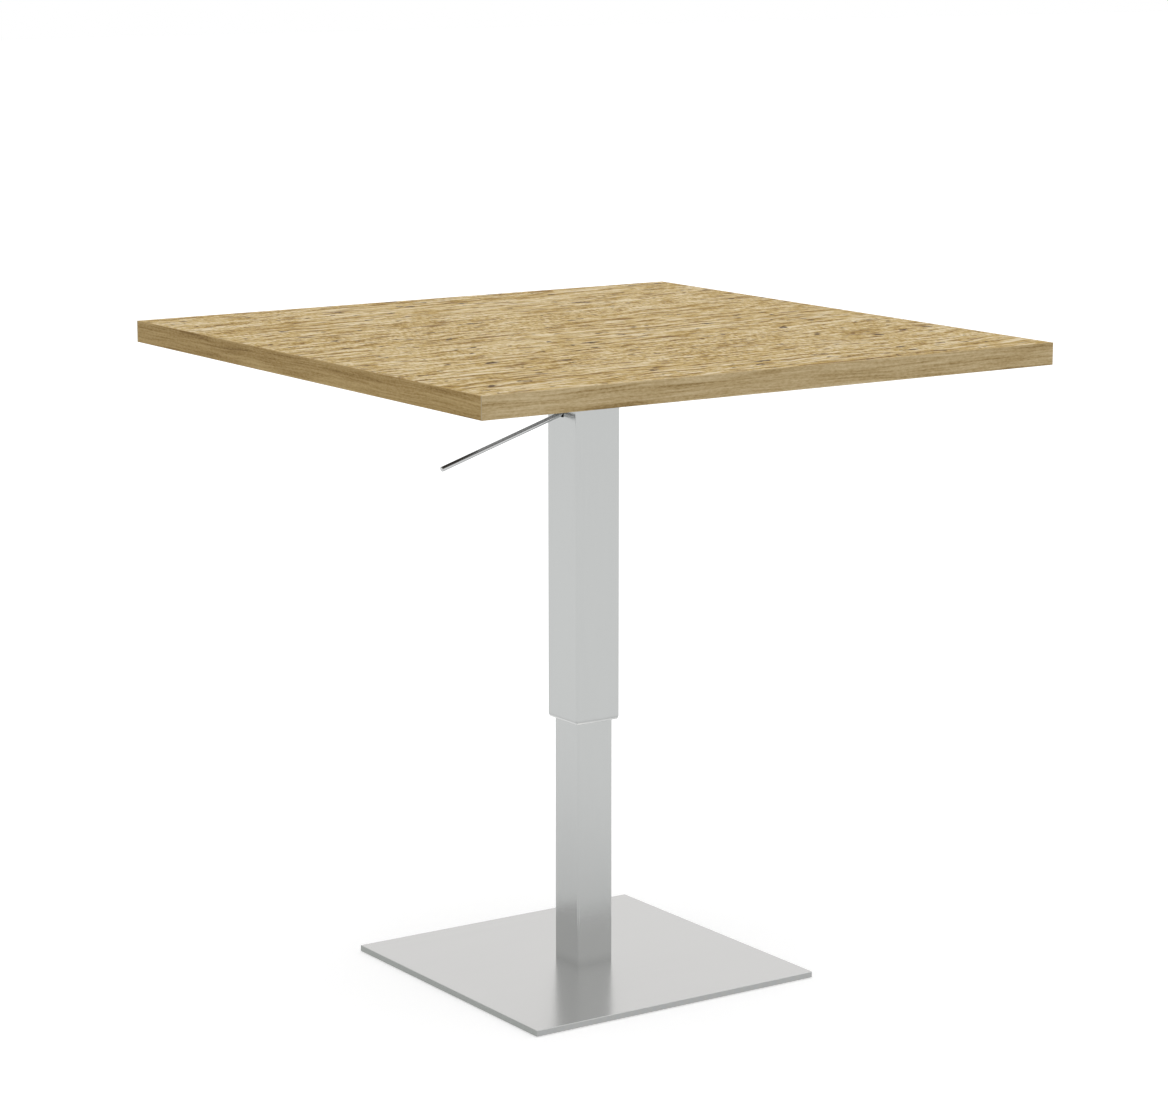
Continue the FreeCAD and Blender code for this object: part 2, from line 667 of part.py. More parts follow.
def make_bridge():
    """Plate across the outer tube, with the rod's lock nut and the rubber stop under it."""
    bridge = bore_plate("bridge_plate", BRIDGE_FOOT, OUTER_BORE, "Sizes.bridge_thick")
    drill(bridge, "Sizes.rod_dia + 2 * Sizes.bolt_gap")
    hexagon_nut("rod_lock_nut", f"{BRIDGE_FOOT} - Sizes.lock_nut_thick", "Sizes.lock_nut_thick")
    buffer = new_body("lift_stop_buffer", f"{BRIDGE_FOOT} - Sizes.buffer_thick")
    turned(buffer, ring_outline("Sizes.buffer_bore / 2", "Sizes.buffer_dia / 2", "0",
                                "Sizes.buffer_thick"))


def make_release_head():
    """Forked block screwed on the rod's end: the lever's ears stand back from the pin."""
    body = new_body("release_head", BRIDGE_TOP)
    back, front = f"-({PIVOT_ARM} + Sizes.ear_radius)", f"-({PIVOT_ARM} - Sizes.ear_radius)"
    block = new_sketch(body, "block", "XZ_Plane")
    draw_rectangle(block, back, "Sizes.head_front", "0", "Sizes.head_block")
    pad(body, block, HEAD_WIDTH, symmetric=True)
    ears = new_sketch(body, "ears", "XZ_Plane")
    draw_rectangle(ears, back, front, "0", "Sizes.pivot_rise")
    pad(body, ears, HEAD_WIDTH, symmetric=True)
    crown = new_sketch(body, "crown", "XZ_Plane")
    draw_circle(crown, "2 * Sizes.ear_radius", f"-{PIVOT_ARM}", "Sizes.pivot_rise")
    pad(body, crown, HEAD_WIDTH, symmetric=True)
    gap = new_sketch(body, "gap", lift="Sizes.head_block")
    draw_rectangle(gap, f"{back} - Sizes.ear_radius", "Sizes.head_front",
                   f"-{EAR_GAP} / 2", f"{EAR_GAP} / 2")
    pocket(body, gap, forwards=True)
    drill(body, "Sizes.rod_dia", "Sizes.thread_reach")
    drill(body, "Sizes.pin_dia + 2 * Sizes.bolt_gap")
    pivot = new_sketch(body, "pivot_hole", "XZ_Plane")
    draw_circle(pivot, "Sizes.pivot_dia", f"-{PIVOT_ARM}", "Sizes.pivot_rise")
    pocket(body, pivot, symmetric=True)


def make_pivot_pin():
    """Grooved pin across the ears, held by an open ring at each end."""
    lying = FreeCAD.Rotation(FreeCAD.Vector(1, 0, 0), 90)
    radius, waist = "Sizes.pivot_dia / 2", "(Sizes.pivot_dia / 2 - Sizes.clip_groove)"
    end, near = f"{PIVOT_LENGTH} / 2", f"{HEAD_WIDTH} / 2"
    far = f"({near} + Sizes.clip_thick)"
    pin = new_body("lever_pivot_pin", PIVOT_HEIGHT, f"-{PIVOT_ARM}", lying)
    turned(pin, [
        ("0", f"-{end}"), (radius, f"-{end}"), (radius, f"-{far}"), (waist, f"-{far}"),
        (waist, f"-{near}"), (radius, f"-{near}"), (radius, near), (waist, near),
        (waist, far), (radius, far), (radius, end), ("0", end),
    ])
    clips = new_body("pivot_pin_clips", PIVOT_HEIGHT, f"-{PIVOT_ARM}", lying)
    ring = turned(clips, ring_outline(waist, "Sizes.clip_dia / 2", near, far),
                  sweep="Sizes.clip_sweep")
    other = clips.newObject("PartDesign::Mirrored", "other_clip")
    other.Originals = [ring]
    other.MirrorPlane = (origin_feature(clips, "XY_Plane"), [""])
    clips.Tip = other
    doc.recompute()


def make_lever_arm():
    """Cam on the pivot: hub, nose over the release pin, and the lever rod's threaded socket."""
    body = new_body("lever_arm", PIVOT_HEIGHT, f"-{PIVOT_ARM}")
    hub = new_sketch(body, "hub", "XZ_Plane")
    draw_circle(hub, "2 * Sizes.hub_radius")
    pad(body, hub, "Sizes.lever_width", symmetric=True)
    nose = new_sketch(body, "nose", "XZ_Plane")
    draw_rectangle(nose, "0", PIVOT_ARM, "-(Sizes.nose_drop + Sizes.nose_radius)",
                   "(Sizes.nose_radius - Sizes.nose_drop)")
    pad(body, nose, "Sizes.lever_width", symmetric=True)
    tip = new_sketch(body, "nose_tip", "XZ_Plane")
    draw_circle(tip, "2 * Sizes.nose_radius", PIVOT_ARM, "-Sizes.nose_drop")
    pad(body, tip, "Sizes.lever_width", symmetric=True)

    tilt = FreeCAD.Rotation(FreeCAD.Vector(-1, 0, 0), value("Sizes.lever_droop"))
    socket = new_sketch(body, "socket", "YZ_Plane", turn=tilt)
    socket.setExpression("AttachmentOffset.Rotation.Angle", "Sizes.lever_droop")
    draw_circle(socket, "Sizes.socket_dia")
    pad(body, socket, "Sizes.socket_length", backwards=True)
    pivot = new_sketch(body, "pivot_bore", "XZ_Plane")
    draw_circle(pivot, "Sizes.pivot_dia + 2 * Sizes.running_gap")
    pocket(body, pivot, symmetric=True)
    bore = new_sketch(body, "rod_bore", "YZ_Plane",
                      y="-Sizes.socket_length * sin(Sizes.lever_droop)",
                      lift="-Sizes.socket_length * cos(Sizes.lever_droop)", turn=tilt)
    bore.setExpression("AttachmentOffset.Rotation.Angle", "Sizes.lever_droop")
    draw_circle(bore, "Sizes.lever_dia")
    pocket(body, bore, "Sizes.socket_depth", forwards=True)


def make_lever_rod():
    """Straight round rod from the socket out through the slot, its end cut square."""
    droop = value("Sizes.lever_droop")
    outwards = FreeCAD.Rotation(FreeCAD.Vector(0, -1, 0), 90 + droop)
    body = new_body("lever_rod", PIVOT_HEIGHT, f"-{PIVOT_ARM}", outwards)
    body.setExpression("Placement.Rotation.Angle", "90 + Sizes.lever_droop")
    start = "(Sizes.socket_length - Sizes.socket_depth)"
    section = new_sketch(body, "rod_section", lift=start)
    draw_circle(section, "Sizes.lever_dia")
    rod = pad(body, section, f"Sizes.lever_reach - {start}")
    tip = value("Sizes.lever_reach")
    bevel(body, rod, "Sizes.lever_bevel", lambda edge: at_height(edge, tip))


def make_top_plate():
    """Plate welded on the outer tube, open over the release head, and its wood screws."""
    body = new_body("top_plate", PLATE_FOOT)
    outline = new_sketch(body, "plate_outline")
    draw_rounded(outline, "Sizes.plate_side", "Sizes.plate_side", "Sizes.plate_corner")
    pad(body, outline, "Sizes.plate_thick")
    drill(body, f"{OUTER_BORE} - 2 * Sizes.opening_ledge")
    hole = "Sizes.wood_screw_dia + 2 * Sizes.wood_screw_gap"
    four_times(body, drill(body, hole, x=WOOD_SCREW_ROW, y=WOOD_SCREW_ROW))

    screws = new_body("top_plate_screws", PLATE_FOOT)
    head, shank = "Sizes.wood_screw_head / 2", "Sizes.wood_screw_dia / 2"
    end = "(Sizes.plate_thick + Sizes.wood_screw_depth)"
    screw = turned(screws, [
        ("0", "-Sizes.wood_screw_head_high"), (head, "-Sizes.wood_screw_head_high"),
        (head, "0"), (shank, "0"), (shank, end), ("0", end),
    ], x=WOOD_SCREW_ROW, y=WOOD_SCREW_ROW)
    four_times(screws, screw)


def square_sheet(name, height, side, thick):
    """A square board or sheet with sharp corners."""
    body = new_body(name, height)
    outline = new_sketch(body, f"{name}_outline")
    draw_rectangle(outline, f"-{side} / 2", f"{side} / 2", f"-{side} / 2", f"{side} / 2")
    pad(body, outline, thick)
    return body


def screw_holes(body, depth=None):
    """Pilot holes for the wood screws, upwards from the body's own floor."""
    four_times(body, drill(body, "Sizes.wood_screw_dia", depth, WOOD_SCREW_ROW, WOOD_SCREW_ROW))


def make_tabletop():
    """Particle board between two veneers, with a band glued on each edge."""
    back = square_sheet("tabletop_back_veneer", TOP_FOOT, CORE_SIDE, "Sizes.veneer_thick")
    screw_holes(back)
    core = square_sheet("tabletop_core", f"{TOP_FOOT} + Sizes.veneer_thick", CORE_SIDE,
                        "Sizes.top_thick - 2 * Sizes.veneer_thick")
    screw_holes(core, "Sizes.wood_screw_depth - Sizes.veneer_thick")
    square_sheet("tabletop_face_veneer", "Sizes.table_height - Sizes.veneer_thick", CORE_SIDE,
                 "Sizes.veneer_thick")
    bands = (("right", 0, CORE_SIDE), ("back", 90, "Sizes.top_side"),
             ("left", 180, CORE_SIDE), ("front", 270, "Sizes.top_side"))
    for name, angle, length in bands:
        make_edge_band(f"edge_band_{name}", angle, length)


def make_edge_band(name, angle, length):
    """A band whose section stands on the core's edge, its outer corners eased."""
    body = new_body(name, TOP_FOOT, turn=FreeCAD.Rotation(FreeCAD.Vector(0, 0, 1), angle))
    inside, outside = f"{CORE_SIDE} / 2", "Sizes.top_side / 2"
    eased = f"{outside} - Sizes.band_bevel"
    section = new_sketch(body, "band_section", "XZ_Plane")
    draw_outline(section, [
        (inside, "0"), (eased, "0"), (outside, "Sizes.band_bevel"),
        (outside, "Sizes.top_thick - Sizes.band_bevel"), (eased, "Sizes.top_thick"),
        (inside, "Sizes.top_thick"),
    ])
    pad(body, section, length, symmetric=True)


make_base_plate()
make_base_glides()
make_column_foot()
make_inner_column()
make_upper_guide_bush()
make_gas_spring_seat()
make_gas_spring_cylinder()
make_rod_guide_and_seal()
make_outer_column()
make_lower_guide_bush()
make_bridge()
make_piston_and_rod()
make_release_head()
make_pivot_pin()
make_lever_arm()
make_lever_rod()
make_top_plate()
make_tabletop()
doc.recompute()

for item in doc.Objects:
    if "Invalid" in item.State or "Error" in item.State:
        raise ValueError(f"{item.Name} did not compute: {item.State}")
for body in sub_parts:
    if body.Shape.isNull() or not body.Shape.isValid():
        raise ValueError(f"{body.Label} has no sound solid")
os.makedirs("parts", exist_ok=True)
for body in sub_parts:
    body.Shape.exportStep(os.path.join("parts", f"{body.Label}.step"))
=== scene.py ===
import math

import bmesh
import bpy
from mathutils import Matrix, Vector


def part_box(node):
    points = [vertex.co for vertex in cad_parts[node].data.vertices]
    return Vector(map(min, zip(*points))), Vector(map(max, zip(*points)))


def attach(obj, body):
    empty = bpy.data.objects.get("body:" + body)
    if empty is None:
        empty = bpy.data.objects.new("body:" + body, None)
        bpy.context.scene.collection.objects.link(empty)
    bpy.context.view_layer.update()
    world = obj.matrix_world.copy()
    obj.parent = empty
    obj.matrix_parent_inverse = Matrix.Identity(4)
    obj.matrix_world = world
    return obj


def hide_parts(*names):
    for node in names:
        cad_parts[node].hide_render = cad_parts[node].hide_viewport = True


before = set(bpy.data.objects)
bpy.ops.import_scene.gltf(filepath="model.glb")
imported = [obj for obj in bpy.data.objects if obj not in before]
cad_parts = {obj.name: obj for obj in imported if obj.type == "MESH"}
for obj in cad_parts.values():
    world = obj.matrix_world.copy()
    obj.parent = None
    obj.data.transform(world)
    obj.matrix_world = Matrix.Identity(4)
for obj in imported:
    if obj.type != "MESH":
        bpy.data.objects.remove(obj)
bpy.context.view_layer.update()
bpy.ops.object.select_all(action="DESELECT")

# The floor glides are four moulded nylon discs, bonded into seats in the underside of the
# base plate.  Each has a rounded rim, a sunk middle and a small moulding mark, and its foot
# is scuffed pale by the floor.
GLIDE_GREY = (0.105, 0.105, 0.108, 1)
GLIDE_SCUFF = (0.24, 0.235, 0.225, 1)
GLIDE_SCUFF_HIGH = 0.0002
GLIDE_RADIUS = 0.015
GLIDE_RIM_ROUND = 0.0009
GLIDE_SUNK_RIM = 0.005
GLIDE_SUNK_DEPTH = 0.0006
GLIDE_MARK_INSET = 0.0065
GLIDE_MARK_HIGH = 0.0003
CORNERS = ((-1, -1), (1, -1), (1, 1), (-1, 1))
FACING = 0.9
TOUCHING = 0.00001


def new_finish(name, colour, roughness, metallic=0.0):
    """A finish of one colour, with its node tree and its shader to build on."""
    finish = bpy.data.materials.new(name)
    finish.use_nodes = True
    finish.diffuse_color = colour
    tree = finish.node_tree
    shader = tree.nodes["Principled BSDF"]
    shader.inputs["Base Color"].default_value = colour
    shader.inputs["Roughness"].default_value = roughness
    shader.inputs["Metallic"].default_value = metallic
    return finish, tree, shader


def feed(tree, socket, source):
    """Links a pattern to a socket, or sets the socket to a plain value."""
    if isinstance(source, bpy.types.NodeSocket):
        tree.links.new(source, socket)
    else:
        socket.default_value = source


def add_node(tree, kind, inputs=None, **settings):
    """A node with its settings made and its inputs, given by name or number, fed."""
    made = tree.nodes.new(f"ShaderNode{kind}")
    for name, setting in settings.items():
        setattr(made, name, setting)
    for name, source in (inputs or {}).items():
        feed(tree, made.inputs[name], source)
    return made


def place_on(tree, stretch=(1, 1, 1), shift=(0, 0, 0)):
    """The point on the piece in its own metres, stretched to set a pattern's length and width."""
    where = add_node(tree, "TexCoord").outputs["Object"]
    return add_node(tree, "Mapping", {"Vector": where, "Location": shift,
                                      "Scale": stretch}).outputs["Vector"]


def measure(tree, axis):
    """Where a point of the piece lies along X, Y or Z, in metres."""
    return add_node(tree, "SeparateXYZ", {"Vector": place_on(tree)}).outputs[axis]


def speckle(tree, place, scale=1.0, detail=3.0, rough=0.55, warp=0.0):
    """Cloudy noise from 0 to 1 over a place."""
    return add_node(tree, "TexNoise", {"Vector": place, "Scale": scale, "Detail": detail,
                                       "Roughness": rough, "Distortion": warp}).outputs["Fac"]


def spread(tree, amount, low, high, to_low=0.0, to_high=1.0):
    """A pattern's range from low to high, opened out to a new range."""
    return add_node(tree, "MapRange", {"Value": amount, "From Min": low, "From Max": high,
                                       "To Min": to_low, "To Max": to_high}).outputs["Result"]


def mixed(tree, share, first, second, how="MIX"):
    """Two colours, or a colour and a pattern, laid over each other."""
    node = add_node(tree, "Mix", data_type="RGBA", blend_type=how, clamp_factor=True)
    sockets = [socket for socket in node.inputs if socket.enabled]
    for socket, source in zip(sockets, (share, first, second)):
        feed(tree, socket, source)
    return [socket for socket in node.outputs if socket.enabled][0]


def reckon(tree, operation, first, second=0.0):
    """One step of arithmetic on patterns."""
    return add_node(tree, "Math", {0: first, 1: second}, operation=operation).outputs[0]


def raised(tree, shader, height, depth, strength=1.0):
    """Relief on the surface: a pattern from 0 to 1 stands that many metres high."""
    bump = add_node(tree, "Bump", {"Height": height, "Distance": depth, "Strength": strength})
    tree.links.new(bump.outputs["Normal"], shader.inputs["Normal"])


def take(piece):
    """Selects one piece alone."""
    bpy.ops.object.select_all(action="DESELECT")
    piece.select_set(True)
    bpy.context.view_layer.objects.active = piece


def work_on(piece):
    """Puts one piece alone in edit mode with nothing selected."""
    take(piece)
    bpy.ops.object.mode_set(mode="EDIT")
    bpy.ops.mesh.select_all(action="DESELECT")


def pick(piece, faces=None, edges=None):
    """Selects the faces or the edges of the piece in edit mode that a test picks."""
    shape = bmesh.from_edit_mesh(piece.data)
    bpy.ops.mesh.select_mode(type="FACE" if faces else "EDGE")
    for item in (shape.faces if faces else shape.edges):
        item.select_set((faces or edges)(item))
    bmesh.update_edit_mesh(piece.data)


def set_out(piece, spots):
    """Copies of a modelled piece, each turned about Z and moved to its spot, joined in one."""
    bpy.ops.object.mode_set(mode="OBJECT")
    copies = []
    for turn, spot in spots:
        take(piece)
        bpy.ops.object.duplicate()
        copies.append(bpy.context.active_object)
        work_on(copies[-1])
        bpy.ops.mesh.select_all(action="SELECT")
        bpy.ops.transform.rotate(value=math.radians(turn), orient_axis="Z",
                                 center_override=(0, 0, 0))
        bpy.ops.transform.translate(value=spot)
        bpy.ops.object.mode_set(mode="OBJECT")
    bpy.data.objects.remove(piece)
    take(copies[0])
    for copy in copies:
        copy.select_set(True)
    bpy.ops.object.join()
    return copies[0]


def settle(piece, name, finish, body, smooth=35):
    """Ends a new piece: smooth shading, name, finish and body."""
    bpy.ops.object.shade_smooth_by_angle(angle=math.radians(smooth))
    piece.name = name
    piece.data.name = name
    piece.data.materials.clear()
    piece.data.materials.append(finish)
    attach(piece, body)


moulded_nylon, tree, shader = new_finish("moulded_nylon", GLIDE_GREY, 0.48)
fine = speckle(tree, place_on(tree), scale=900, detail=4)
rubbed = speckle(tree, place_on(tree, (1, 0.25, 1)), scale=260, detail=5, rough=0.7)
at_foot = spread(tree, measure(tree, "Z"), GLIDE_SCUFF_HIGH, 0)
scuffs = reckon(tree, "MULTIPLY", at_foot, spread(tree, rubbed, 0.42, 0.62))
tree.links.new(mixed(tree, scuffs, GLIDE_GREY, GLIDE_SCUFF), shader.inputs["Base Color"])
tree.links.new(spread(tree, rubbed, 0.3, 0.7, 0.4, 0.62), shader.inputs["Roughness"])
raised(tree, shader, fine, 0.00004)

glide_low, glide_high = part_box("base_glides")
glide_reach = glide_high.x - GLIDE_RADIUS
bpy.ops.mesh.primitive_cylinder_add(
    vertices=64, radius=GLIDE_RADIUS, depth=glide_high.z - glide_low.z,
    location=(0, 0, (glide_low.z + glide_high.z) / 2))
glide = bpy.context.active_object
bpy.ops.object.transform_apply(location=True)
work_on(glide)
pick(glide, faces=lambda face: face.normal.z < -FACING)
bpy.ops.mesh.inset(thickness=GLIDE_SUNK_RIM, depth=0)
bpy.ops.mesh.inset(thickness=GLIDE_SUNK_DEPTH, depth=-GLIDE_SUNK_DEPTH)
bpy.ops.mesh.inset(thickness=GLIDE_MARK_INSET, depth=0)
bpy.ops.mesh.inset(thickness=GLIDE_MARK_HIGH, depth=GLIDE_MARK_HIGH)
pick(glide, edges=lambda edge: all(
    abs(v.co.z - glide_low.z) < TOUCHING and v.co.xy.length > GLIDE_RADIUS - TOUCHING
    for v in edge.verts))
bpy.ops.mesh.bevel(offset=GLIDE_RIM_ROUND, segments=4, affect="EDGES")
glides = set_out(glide, [(0, (side_x * glide_reach, side_y * glide_reach, 0))
                         for side_x, side_y in CORNERS])
settle(glides, "floor_glides", moulded_nylon, "floor_stand")
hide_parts("base_glides")

# The base plate is 8 mm stainless steel, ground to a satin face with the grain along X.
# Its cut edges are rougher than the face and painted darker as shade. The two along the grain
# are painted less dark than the two ends, as if lit from the window side. The face shows soft
# reflections.
PLATE_STEEL = (0.603, 0.597, 0.587, 1)
PLATE_GRAIN = (0.643, 0.637, 0.627, 1)
PLATE_END_CUT_DEEP_SHADE = (0.385, 0.40, 0.385, 1)
PLATE_SIDE_CUT_SOFT_SHADE = (0.445, 0.452, 0.447, 1)
PLATE_CUT_STARTS = 0.0010
PLATE_CUT_FULL = 0.0006
PLATE_EDGE_ROUGHNESS = 0.42
PLATE_ROUGHNESS = (0.19, 0.24)


def dress(finish, *names):
    """Gives CAD parts their finish."""
    for name in names:
        for material_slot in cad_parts[name].material_slots:
            material_slot.material = finish


plate_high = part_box("base_plate")[1]
cut_range = (plate_high.x - PLATE_CUT_STARTS, plate_high.x - PLATE_CUT_FULL)
satin_plate, tree, shader = new_finish("satin_plate", PLATE_STEEL, 0.22, 1.0)
scratches = speckle(tree, place_on(tree, (6, 900, 900)), detail=6, rough=0.7)
patches = speckle(tree, place_on(tree, (3, 5, 5)))
lengthways = reckon(tree, "ABSOLUTE", measure(tree, "X"))
crossways = reckon(tree, "ABSOLUTE", measure(tree, "Y"))
# Painted shade: the cut edges are coloured darker than the face, the two end cuts more than the
# two side cuts. The same mask also makes the cut edges rougher.
cut_edge_rough_and_shaded = spread(tree, reckon(tree, "MAXIMUM", lengthways, crossways), *cut_range)
end_cut_deep_shade = spread(tree, lengthways, *cut_range)
edge_shade_colour = mixed(tree, end_cut_deep_shade, PLATE_SIDE_CUT_SOFT_SHADE, PLATE_END_CUT_DEEP_SHADE)
face_colour = mixed(tree, spread(tree, scratches, 0.3, 0.7), PLATE_STEEL, PLATE_GRAIN)
tree.links.new(mixed(tree, cut_edge_rough_and_shaded, face_colour, edge_shade_colour), shader.inputs["Base Color"])
sheen = spread(tree, reckon(tree, "ADD", reckon(tree, "MULTIPLY", scratches, 0.5),
                            reckon(tree, "MULTIPLY", patches, 0.5)),
               0.35, 0.65, *PLATE_ROUGHNESS)
edge_sheen = reckon(tree, "MULTIPLY", cut_edge_rough_and_shaded, PLATE_EDGE_ROUGHNESS - PLATE_ROUGHNESS[0])
tree.links.new(reckon(tree, "ADD", sheen, edge_sheen), shader.inputs["Roughness"])
raised(tree, shader, scratches, 0.000004, 0.6)
dress(satin_plate, "base_plate")

# The column's foot is a zinc-plated block welded inside the inner tube.  Four M8 countersunk
# screws come up through the plate into it, their threads lost in the block.
ZINC = (0.50, 0.505, 0.515, 1)
ZINC_BLUISH = (0.42, 0.445, 0.485, 1)
ZINC_ROUGHNESS = (0.26, 0.42)
SCREW_PITCH = 0.00125
SCREW_CONE = 0.0042


def ridges(tree, pitch):
    """Level ridges up the piece, from 0 in a groove to 1 on a crest."""
    wave = reckon(tree, "PINGPONG", measure(tree, "Z"), pitch / 2)
    return reckon(tree, "DIVIDE", wave, pitch / 2)


def zinc_finish(name, pitch=None, thread_foot=None):
    """Bright zinc plate with its faint blue bloom; a pitch cuts a thread above its foot."""
    finish, tree, shader = new_finish(name, ZINC, 0.34, 1.0)
    bloom = speckle(tree, place_on(tree), scale=55, detail=4, rough=0.6, warp=0.6)
    tree.links.new(mixed(tree, spread(tree, bloom, 0.35, 0.7), ZINC, ZINC_BLUISH),
                   shader.inputs["Base Color"])
    tree.links.new(spread(tree, bloom, 0.3, 0.7, *ZINC_ROUGHNESS), shader.inputs["Roughness"])
    if pitch is None:
        raised(tree, shader, speckle(tree, place_on(tree), scale=1400), 0.00001)
    else:
        threaded = spread(tree, measure(tree, "Z"), thread_foot, thread_foot + pitch)
        raised(tree, shader, reckon(tree, "MULTIPLY", ridges(tree, pitch), threaded), pitch / 2)
    return finish


screw_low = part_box("column_foot_screws")[0]
zinc_plate = zinc_finish("zinc_plate")
dress(zinc_plate, "column_foot_block")
dress(zinc_finish("zinc_threaded", SCREW_PITCH, screw_low.z + SCREW_CONE), "column_foot_screws")

# The two tubes of the column are square stainless steel, ground satin along their length in a
# fine upright hairline.  The drawn-in lower rim of the outer tube is polished smoother and
# painted lighter as a highlight, and the foot of the inner tube is painted darker as shade, most
# where it meets the plate, with a fainter painted shade up to some 10 cm.
TUBE_STEEL = (0.475, 0.485, 0.48, 1)
TUBE_GRAIN = (0.50, 0.51, 0.505, 1)
TUBE_ROUGHNESS = (0.17, 0.22)
RIM_PAINTED_HIGHLIGHT = (0.68, 0.69, 0.68, 1)
RIM_ROUGHNESS = 0.1
RIM_HIGH = 0.0026
RIM_FADE = 0.0004
FOOT_SHADE_BLACK = (0, 0, 0, 1)
FOOT_SHADE_HIGH = 0.014
FOOT_SHADE_SHARE = 0.10
LOW_SHADE_HIGH = 0.098
LOW_SHADE_FULL = 0.080
LOW_SHADE_SHARE = 0.03


def tube_finish(name, rim=None, foot=None):
    """Satin tube steel; below a rim it is smoother with a painted highlight, near a foot painted
    shade.
    """
    finish, tree, shader = new_finish(name, TUBE_STEEL, 0.2, 1.0)
    height = measure(tree, "Z")
    hairline = speckle(tree, place_on(tree, (1100, 1100, 7)), detail=6, rough=0.7)
    patches = speckle(tree, place_on(tree, (6, 6, 2.5)))
    steel = mixed(tree, spread(tree, hairline, 0.3, 0.7), TUBE_STEEL, TUBE_GRAIN)
    sheen = spread(tree, reckon(tree, "ADD", reckon(tree, "MULTIPLY", hairline, 0.5),
                                reckon(tree, "MULTIPLY", patches, 0.5)),
                   0.35, 0.65, *TUBE_ROUGHNESS)
    if foot is not None:
        # Painted shade: the inner tube is darker towards its foot, and faintly darker over its
        # lowest 8 to 10 cm.
        foot_shade = spread(tree, height, foot + FOOT_SHADE_HIGH, foot, 0, FOOT_SHADE_SHARE)
        low_shade = spread(tree, height, foot + LOW_SHADE_HIGH, foot + LOW_SHADE_FULL, 0, LOW_SHADE_SHARE)
        steel = mixed(tree, reckon(tree, "ADD", foot_shade, low_shade), steel, FOOT_SHADE_BLACK)
    if rim is not None:
        # Painted highlight: below the rim's height the steel is painted lighter, and its
        # roughness is lowered too.
        polish_and_highlight = spread(tree, height, rim, rim - RIM_FADE)
        steel = mixed(tree, polish_and_highlight, steel, RIM_PAINTED_HIGHLIGHT)
        sheen = reckon(tree, "SUBTRACT", sheen, reckon(
            tree, "MULTIPLY", polish_and_highlight, TUBE_ROUGHNESS[0] - RIM_ROUGHNESS))
    tree.links.new(steel, shader.inputs["Base Color"])
    tree.links.new(sheen, shader.inputs["Roughness"])
    raised(tree, shader, hairline, 0.000003, 0.6)
    return finish


tube_low, tube_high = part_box("outer_column")
dress(tube_finish("satin_inner_tube", foot=plate_high.z), "inner_column")
dress(tube_finish("satin_outer_tube", rim=tube_low.z + RIM_HIGH), "outer_column")

# The guide bushes are machined from black acetal: a cap with skirts on the inner tube's head
# and a sleeve in the outer tube's foot.  The cutter leaves fine level rings.
ACETAL_BLACK = (0.018, 0.018, 0.019, 1)
ACETAL_WORN = (0.045, 0.045, 0.047, 1)
CUTTER_PITCH = 0.0005

black_acetal, tree, shader = new_finish("black_acetal", ACETAL_BLACK, 0.36)
rubbed = speckle(tree, place_on(tree, (60, 60, 5)), detail=4)
tree.links.new(mixed(tree, spread(tree, rubbed, 0.5, 0.75), ACETAL_BLACK, ACETAL_WORN),
               shader.inputs["Base Color"])
tree.links.new(spread(tree, rubbed, 0.3, 0.7, 0.3, 0.46), shader.inputs["Roughness"])
raised(tree, shader, ridges(tree, CUTTER_PITCH), 0.00001)
dress(black_acetal, "upper_guide_bush", "lower_guide_bush")

# The gas spring stands on a seat plate inside the inner tube: a lacquered pressure tube with
# its stud and nut below, and in its mouth a zinc-plated guide over a rubber seal.
LACQUER_BLACK = (0.012, 0.012, 0.013, 1)
RUBBER_BLACK = (0.02, 0.02, 0.02, 1)
RUBBER_BLOOM = (0.05, 0.049, 0.047, 1)

gloss_lacquer, tree, shader = new_finish("gloss_lacquer", LACQUER_BLACK, 0.22)
peel = speckle(tree, place_on(tree), scale=420, detail=2)
tree.links.new(spread(tree, peel, 0.3, 0.7, 0.16, 0.28), shader.inputs["Roughness"])
shader.inputs["Coat Weight"].default_value = 0.6
shader.inputs["Coat Roughness"].default_value = 0.08
raised(tree, shader, peel, 0.00003)
dress(gloss_lacquer, "gas_spring_cylinder")

soft_rubber, tree, shader = new_finish("soft_rubber", RUBBER_BLACK, 0.62)
bloom = speckle(tree, place_on(tree), scale=180, detail=5, rough=0.65)
tree.links.new(mixed(tree, spread(tree, bloom, 0.45, 0.75), RUBBER_BLACK, RUBBER_BLOOM),
               shader.inputs["Base Color"])
tree.links.new(spread(tree, bloom, 0.3, 0.7, 0.52, 0.74), shader.inputs["Roughness"])
raised(tree, shader, speckle(tree, place_on(tree), scale=1500, detail=2), 0.00003)
dress(soft_rubber, "gas_spring_rod_seal", "gas_spring_piston_ring", "lift_stop_buffer")
dress(zinc_plate, "gas_spring_seat", "gas_spring_base_nut", "gas_spring_rod_guide")

# The rod of the gas spring is hard chrome on ground steel, with a turned brass piston on its
# foot and its thread screwed through the bridge plate of the outer tube.  The release pin
# runs down inside it and is chromed too.
BRASS = (0.62, 0.43, 0.17, 1)
CHROME = (0.80, 0.81, 0.82, 1)


def bright_finish(name, metal, stretch, roughness):
    """Bright metal with faint polishing lines, round a rod or along it as they are stretched."""
    finish, tree, shader = new_finish(name, metal, roughness, 1.0)
    lines = speckle(tree, place_on(tree, stretch), detail=5, rough=0.7)
    smears = speckle(tree, place_on(tree), scale=40)
    tree.links.new(spread(tree, reckon(tree, "MULTIPLY", lines, smears), 0.1, 0.45,
                          roughness * 0.7, roughness * 1.5), shader.inputs["Roughness"])
    raised(tree, shader, lines, 0.000002, 0.5)
    return finish


